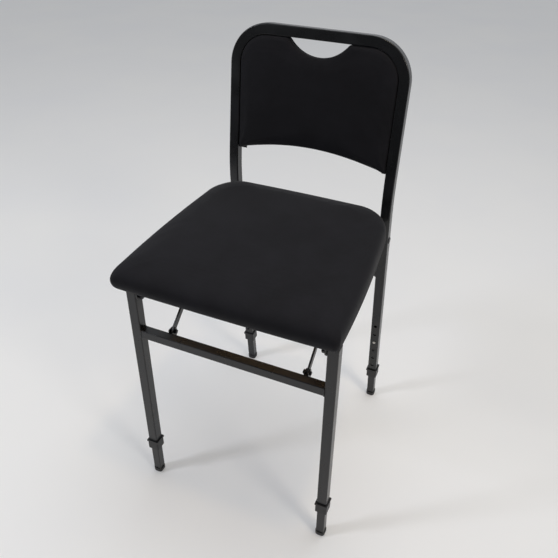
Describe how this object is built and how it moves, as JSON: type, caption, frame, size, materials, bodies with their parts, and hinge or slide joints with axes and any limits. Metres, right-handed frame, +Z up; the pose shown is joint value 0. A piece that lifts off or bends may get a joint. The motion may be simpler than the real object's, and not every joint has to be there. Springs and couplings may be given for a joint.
{
  "type": "folding chair",
  "caption": "Folding chair with an upholstered seat and back, on square-tube legs of adjustable length.",
  "frame": {"origin": "on the floor under the middle of the whole chair", "axes": "+Z up, -Y to the front, +X to the right seen from the front"},
  "size_m": [0.4012, 0.4563, 0.8363],
  "materials": {
    "powder_coat": "satin",
    "upholstery": "matte",
    "plywood": "matte",
    "moulded_plastic": "matte",
    "black_fasteners": "satin",
    "nylon": "matte",
    "spring_steel": "satin"
  },
  "bodies": {
    "back_frame": {"back_frame_tube": "powder_coat", "rear_crossbar": "powder_coat", "back_pad": "upholstery", "back_panel": "upholstery", "back_tab_lower_left": "powder_coat", "back_tab_lower_right": "powder_coat", "back_tab_upper_left": "powder_coat", "back_tab_upper_right": "powder_coat", "back_screws": "black_fasteners", "leg_collar_back_left": "moulded_plastic", "leg_collar_back_right": "moulded_plastic", "back_hinge_stud_left": "black_fasteners", "back_hinge_stud_right": "black_fasteners", "back_hinge_washers": "nylon", "back_hinge_nuts": "black_fasteners"},
    "seat": {"seat_cushion": "upholstery", "seat_board": "plywood", "seat_screws": "black_fasteners", "seat_bracket_front_left": "powder_coat", "seat_bracket_front_right": "powder_coat", "seat_bracket_rear_left": "powder_coat", "seat_bracket_rear_right": "powder_coat", "brace_guide_left": "powder_coat", "brace_guide_right": "powder_coat"},
    "front_frame": {"front_leg_tube_left": "powder_coat", "front_leg_tube_right": "powder_coat", "front_leg_cap_left": "moulded_plastic", "front_leg_cap_right": "moulded_plastic", "front_crossbar": "powder_coat", "brace_clevis_left": "powder_coat", "brace_clevis_right": "powder_coat", "brace_bolts": "black_fasteners", "leg_collar_front_left": "moulded_plastic", "leg_collar_front_right": "moulded_plastic", "front_hinge_stud_left": "black_fasteners", "front_hinge_stud_right": "black_fasteners", "front_hinge_washers": "nylon", "front_hinge_nuts": "black_fasteners"},
    "brace_left": {"brace_bar_left": "powder_coat", "brace_pin_left": "black_fasteners"},
    "brace_right": {"brace_bar_right": "powder_coat", "brace_pin_right": "black_fasteners"},
    "leg_front_left": {"inner_leg_front_left": "powder_coat", "glide_front_left": "moulded_plastic"},
    "button_front_left": {"snap_clip_front_left": "spring_steel"},
    "leg_front_right": {"inner_leg_front_right": "powder_coat", "glide_front_right": "moulded_plastic"},
    "button_front_right": {"snap_clip_front_right": "spring_steel"},
    "leg_back_left": {"inner_leg_back_left": "powder_coat", "glide_back_left": "moulded_plastic"},
    "button_back_left": {"snap_clip_back_left": "spring_steel"},
    "leg_back_right": {"inner_leg_back_right": "powder_coat", "glide_back_right": "moulded_plastic"},
    "button_back_right": {"snap_clip_back_right": "spring_steel"}
  },
  "joints": [
    {"name": "seat_fold", "type": "hinge", "parent": "back_frame", "child": "seat", "pos_m": [0, 0.1645, 0.464], "axis": [1, 0, 0], "range_deg": [0, 84]},
    {"name": "front_frame_fold", "type": "hinge", "parent": "seat", "child": "front_frame", "pos_m": [0, -0.1845, 0.464], "axis": [1, 0, 0], "range_deg": [0, 88.01]},
    {"name": "brace_left_fold", "type": "hinge", "parent": "front_frame", "child": "brace_left", "pos_m": [-0.1215, -0.1685, 0.388], "axis": [1, 0, 0], "range_deg": [-129.61, 0]},
    {"name": "brace_right_fold", "type": "hinge", "parent": "front_frame", "child": "brace_right", "pos_m": [0.1345, -0.1685, 0.388], "axis": [1, 0, 0], "range_deg": [-129.61, 0]},
    {"name": "leg_front_left_length", "type": "slide", "parent": "front_frame", "child": "leg_front_left", "axis": [0, 0, -1], "range_m": [-0.05, 0.075]},
    {"name": "button_front_left_press", "type": "slide", "parent": "leg_front_left", "child": "button_front_left", "axis": [0, -1, 0], "range_m": [0, 0.003], "stiffness_N_per_m": 2500, "springref_m": -0.001, "deforming": ["snap_clip_front_left"]},
    {"name": "leg_front_right_length", "type": "slide", "parent": "front_frame", "child": "leg_front_right", "axis": [0, 0, -1], "range_m": [-0.05, 0.075]},
    {"name": "button_front_right_press", "type": "slide", "parent": "leg_front_right", "child": "button_front_right", "axis": [0, -1, 0], "range_m": [0, 0.003], "stiffness_N_per_m": 2500, "springref_m": -0.001, "deforming": ["snap_clip_front_right"]},
    {"name": "leg_back_left_length", "type": "slide", "parent": "back_frame", "child": "leg_back_left", "axis": [0, 0.1157, -0.9933], "range_m": [-0.05, 0.075]},
    {"name": "button_back_left_press", "type": "slide", "parent": "leg_back_left", "child": "button_back_left", "axis": [0, 0.9933, 0.1157], "range_m": [0, 0.003], "stiffness_N_per_m": 2500, "springref_m": -0.001, "deforming": ["snap_clip_back_left"]},
    {"name": "leg_back_right_length", "type": "slide", "parent": "back_frame", "child": "leg_back_right", "axis": [0, 0.1157, -0.9933], "range_m": [-0.05, 0.075]},
    {"name": "button_back_right_press", "type": "slide", "parent": "leg_back_right", "child": "button_back_right", "axis": [0, 0.9933, 0.1157], "range_m": [0, 0.003], "stiffness_N_per_m": 2500, "springref_m": -0.001, "deforming": ["snap_clip_back_right"]}
  ],
  "couplings": [
    {"joint": "front_frame_fold", "follows": "seat_fold", "ratio": 1.0476},
    {"joint": "brace_left_fold", "follows": "seat_fold", "ratio": -1.5429},
    {"joint": "brace_right_fold", "follows": "seat_fold", "ratio": -1.5429}
  ]
}
